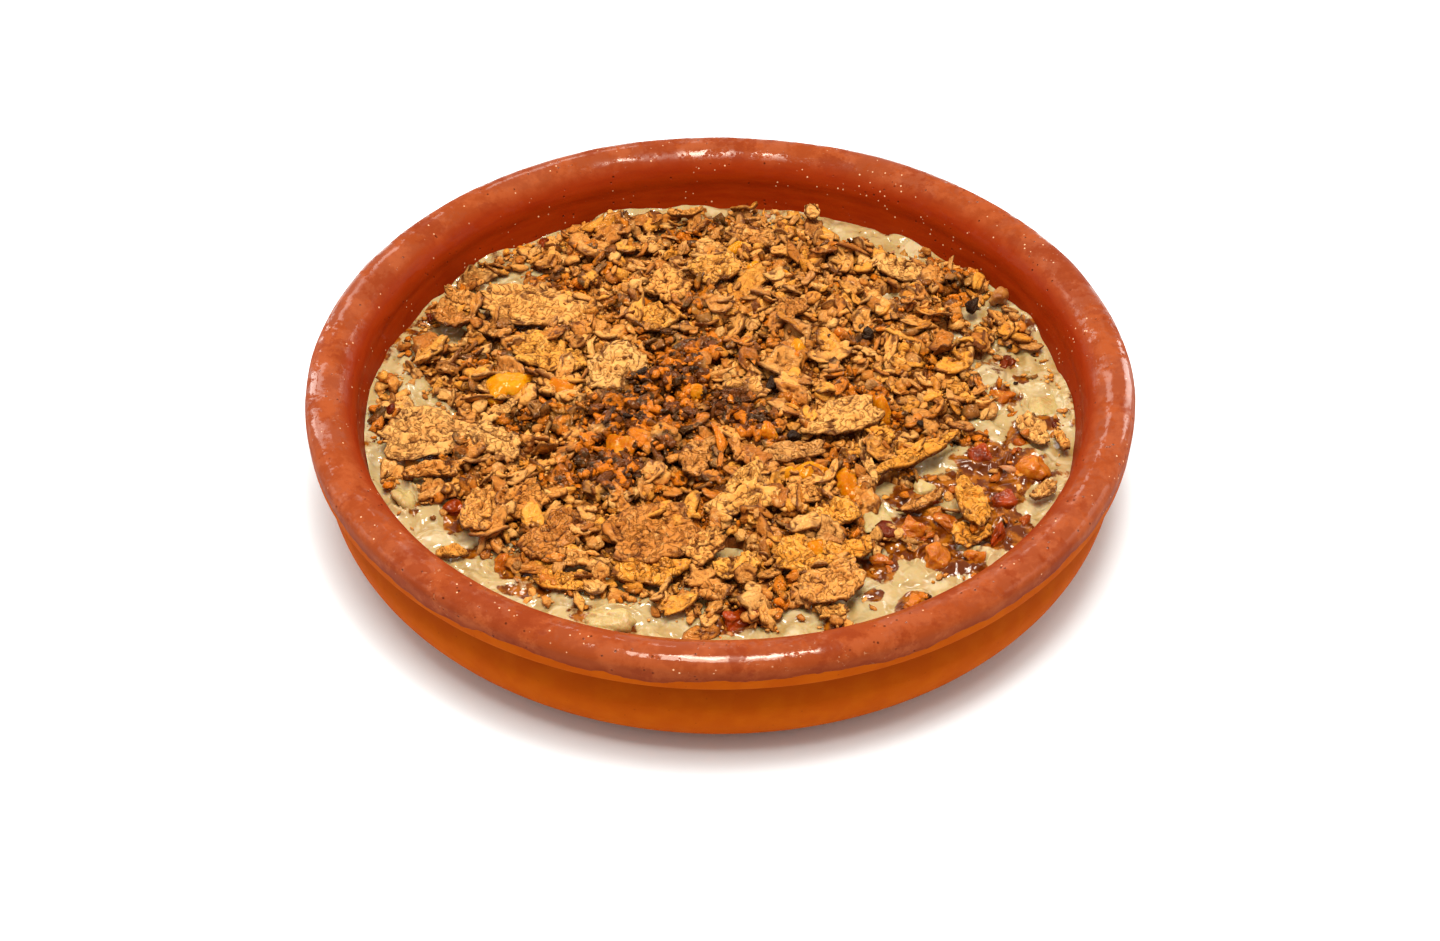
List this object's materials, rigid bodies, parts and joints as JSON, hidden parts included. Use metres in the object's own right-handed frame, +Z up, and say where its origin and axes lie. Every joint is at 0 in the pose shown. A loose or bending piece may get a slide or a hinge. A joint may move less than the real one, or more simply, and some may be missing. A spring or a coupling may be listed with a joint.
{
  "type": "dish of masoub",
  "caption": "Round shallow glazed earthenware dish filled with banana cream and fruit pieces under a heap of crushed toasted flatbread and honey.",
  "frame": {"origin": "centre of the dish's flat underside", "axes": "+Z up out of the dish, -Y towards the viewer of the picture, +X to the viewer's right"},
  "size_m": [0.16, 0.16, 0.029],
  "materials": {
    "glazed_clay": "glossy red-brown glaze inside and over the lip, satin unglazed terracotta body below the lip",
    "banana_cream": "wet, glossy, pale ivory banana mash with cream",
    "toasted_bread": "dry, rough, light tan toasted flatbread, browner and honey-soaked at the middle",
    "soft_date": "glossy, slightly translucent red-brown date",
    "dried_apricot": "glossy, translucent amber dried fruit",
    "banana_flesh": "moist pale yellow banana",
    "roasted_nut": "satin orange-brown roasted nut",
    "black_raisin": "black, glossy, wrinkled"
  },
  "bodies": {
    "root": {"apricot_1": "dried_apricot", "apricot_2": "dried_apricot", "apricot_3": "dried_apricot", "apricot_4": "dried_apricot", "apricot_5": "dried_apricot", "apricot_6": "dried_apricot", "apricot_7": "dried_apricot", "apricot_8": "dried_apricot", "apricot_9": "dried_apricot", "banana_1": "banana_flesh", "banana_2": "banana_flesh", "banana_3": "banana_flesh", "banana_4": "banana_flesh", "banana_5": "banana_flesh", "cream": "banana_cream", "date_1": "soft_date", "date_2": "soft_date", "date_3": "soft_date", "date_4": "soft_date", "date_5": "soft_date", "date_6": "soft_date", "dish": "glazed_clay", "flake_1": "toasted_bread", "flake_2": "toasted_bread", "flake_3": "toasted_bread", "flake_4": "toasted_bread", "flake_5": "toasted_bread", "flake_6": "toasted_bread", "flake_heap": "toasted_bread", "nut_1": "roasted_nut", "nut_2": "roasted_nut", "raisin_1": "black_raisin", "raisin_2": "black_raisin", "raisin_3": "black_raisin", "raisin_4": "black_raisin"}
  },
  "joints": []
}
